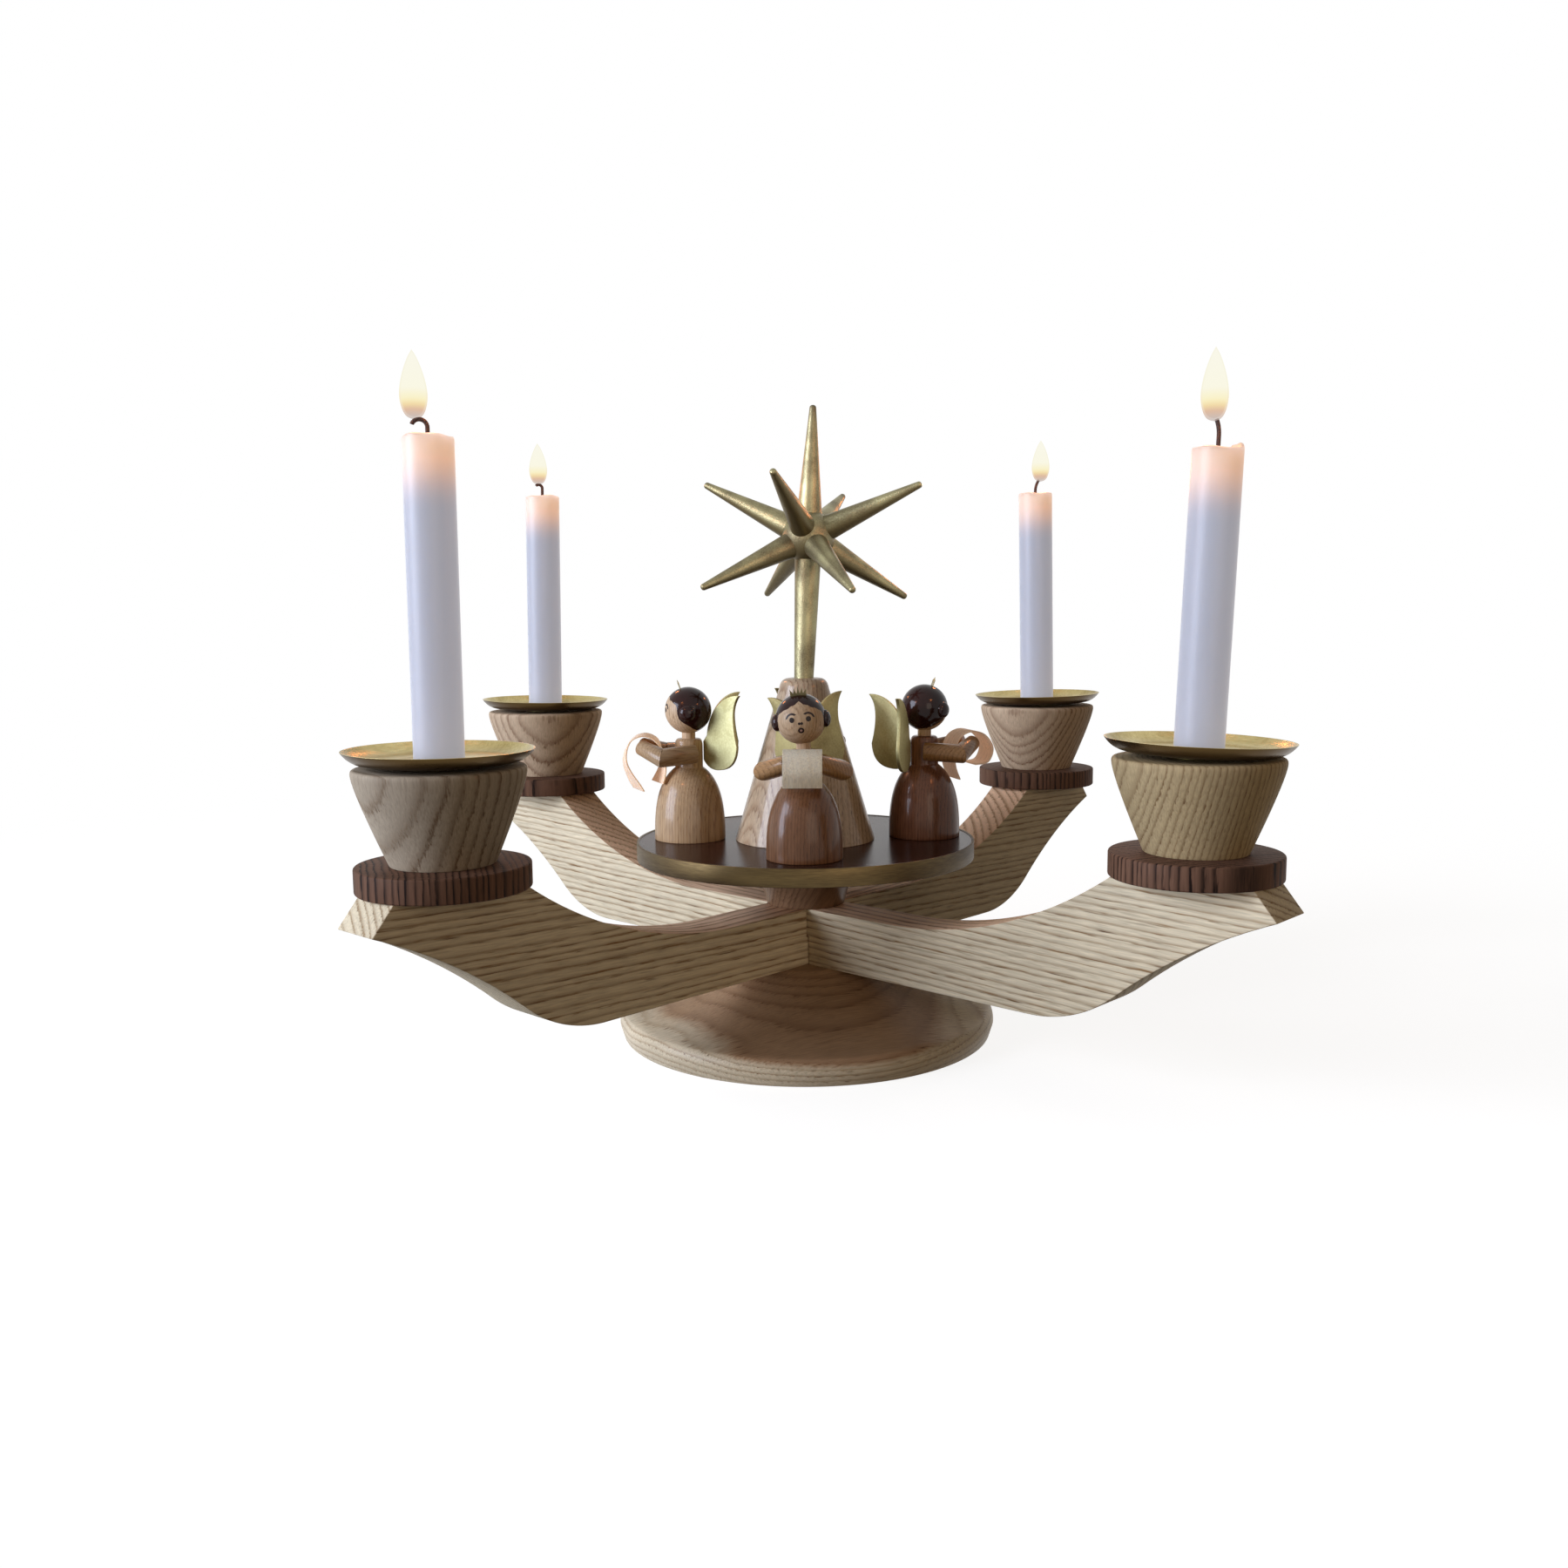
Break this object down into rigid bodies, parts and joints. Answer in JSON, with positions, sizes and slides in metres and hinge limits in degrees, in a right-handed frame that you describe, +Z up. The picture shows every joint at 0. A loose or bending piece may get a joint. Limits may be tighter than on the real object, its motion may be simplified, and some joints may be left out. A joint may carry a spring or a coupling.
{
  "type": "advent candle holder",
  "caption": "Wooden advent candle holder with crossed upswept beams, turned cups with brass drip pans and candles, singing angels on a round plate and a gold star.",
  "frame": {"origin": "middle of the foot's underside, on the table", "axes": "+Z up; -Y is the front that the front figure looks at; the two beams run on the diagonals of X and Y"},
  "size_m": [0.266, 0.2658, 0.2216],
  "materials": {
    "ash": "oiled ash with strong growth rings",
    "walnut": "dark satin wood with long pores",
    "dark_plate": "dark brown glossy stain",
    "beech": "clear satin lacquer on fine-grained wood",
    "painted_head": "glossy brown painted hair over a pale wooden face",
    "gold_wood": "gold paint on wood, slightly grainy",
    "shaving": "thin curled wood shaving",
    "brass": "spun sheet brass, slightly aged",
    "wax": "white candle wax",
    "wick": "charred cotton"
  },
  "bodies": {
    "stand": {"foot": "ash", "beam_lower": "ash", "beam_upper": "ash", "collar": "beech", "figure_plate": "dark_plate", "brass_band": "brass", "star_cone": "beech", "star_post": "gold_wood", "star_spike_upper_1": "gold_wood", "star_spike_upper_2": "gold_wood", "star_spike_upper_3": "gold_wood", "star_spike_upper_4": "gold_wood", "star_spike_lower_1": "gold_wood", "star_spike_lower_2": "gold_wood", "star_spike_lower_3": "gold_wood", "star_spike_lower_4": "gold_wood", "angel_front_body": "beech", "angel_front_head": "painted_head", "angel_front_arm_left": "beech", "angel_front_arm_right": "beech", "angel_front_wings": "gold_wood", "angel_front_scroll": "shaving", "angel_right_body": "beech", "angel_right_head": "painted_head", "angel_right_arm_left": "beech", "angel_right_arm_right": "beech", "angel_right_wings": "gold_wood", "angel_right_scroll": "shaving", "angel_back_body": "beech", "angel_back_head": "painted_head", "angel_back_arm_left": "beech", "angel_back_arm_right": "beech", "angel_back_wings": "gold_wood", "angel_back_scroll": "shaving", "angel_left_body": "beech", "angel_left_head": "painted_head", "angel_left_arm_left": "beech", "angel_left_arm_right": "beech", "angel_left_wings": "gold_wood", "angel_left_scroll": "shaving", "cup_disc_front_left": "walnut", "candle_cup_front_left": "ash", "cup_disc_front_right": "walnut", "candle_cup_front_right": "ash", "cup_disc_back_right": "walnut", "candle_cup_back_right": "ash", "cup_disc_back_left": "walnut", "candle_cup_back_left": "ash"},
    "pan_front_left": {"drip_pan_front_left": "brass"},
    "candle_front_left": {"candle_front_left": "wax", "wick_front_left": "wick"},
    "pan_front_right": {"drip_pan_front_right": "brass"},
    "candle_front_right": {"candle_front_right": "wax", "wick_front_right": "wick"},
    "pan_back_right": {"drip_pan_back_right": "brass"},
    "candle_back_right": {"candle_back_right": "wax", "wick_back_right": "wick"},
    "pan_back_left": {"drip_pan_back_left": "brass"},
    "candle_back_left": {"candle_back_left": "wax", "wick_back_left": "wick"}
  },
  "joints": [
    {"name": "pan_lift_front_left", "type": "slide", "parent": "stand", "child": "pan_front_left", "axis": [0.0052, 0, 1], "range_m": [0, 0.016]},
    {"name": "candle_lift_front_left", "type": "slide", "parent": "pan_front_left", "child": "candle_front_left", "axis": [0.0052, 0, 1], "range_m": [0, 0.016]},
    {"name": "pan_lift_front_right", "type": "slide", "parent": "stand", "child": "pan_front_right", "axis": [0.0349, 0, 0.9994], "range_m": [0, 0.016]},
    {"name": "candle_lift_front_right", "type": "slide", "parent": "pan_front_right", "child": "candle_front_right", "axis": [0.0349, 0, 0.9994], "range_m": [0, 0.016]},
    {"name": "pan_lift_back_right", "type": "slide", "parent": "stand", "child": "pan_back_right", "axis": [-0.0209, 0, 0.9998], "range_m": [0, 0.016]},
    {"name": "candle_lift_back_right", "type": "slide", "parent": "pan_back_right", "child": "candle_back_right", "axis": [-0.0209, 0, 0.9998], "range_m": [0, 0.016]},
    {"name": "pan_lift_back_left", "type": "slide", "parent": "stand", "child": "pan_back_left", "axis": [0.0157, 0, 0.9999], "range_m": [0, 0.016]},
    {"name": "candle_lift_back_left", "type": "slide", "parent": "pan_back_left", "child": "candle_back_left", "axis": [0.0157, 0, 0.9999], "range_m": [0, 0.016]}
  ]
}
